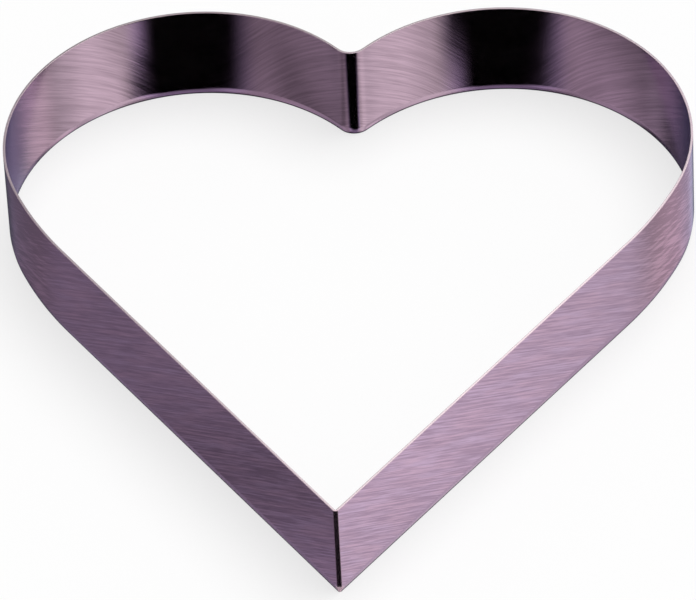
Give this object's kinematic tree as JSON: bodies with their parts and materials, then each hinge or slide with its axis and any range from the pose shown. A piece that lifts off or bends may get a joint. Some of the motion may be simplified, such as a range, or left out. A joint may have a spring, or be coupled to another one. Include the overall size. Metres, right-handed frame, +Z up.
{
  "type": "heart cake ring",
  "caption": "Heart-shaped cake ring of upright stainless strip, open above and below and welded at its point, for moulding and cutting cakes and mousses.",
  "frame": {"origin": "on the surface that the ring stands on, in the middle of its width and depth", "axes": "+Z up, +Y from the point towards the notch, +X across the lobes to the right"},
  "size_m": [0.25, 0.2622, 0.04],
  "materials": {
    "brushed_strip": "stainless steel with fine swirled brushing and a mauve cast",
    "dressed_weld": "weld ground almost flush and polished"
  },
  "bodies": {
    "root": {"heart_band": "brushed_strip", "point_weld": "dressed_weld"}
  },
  "joints": []
}
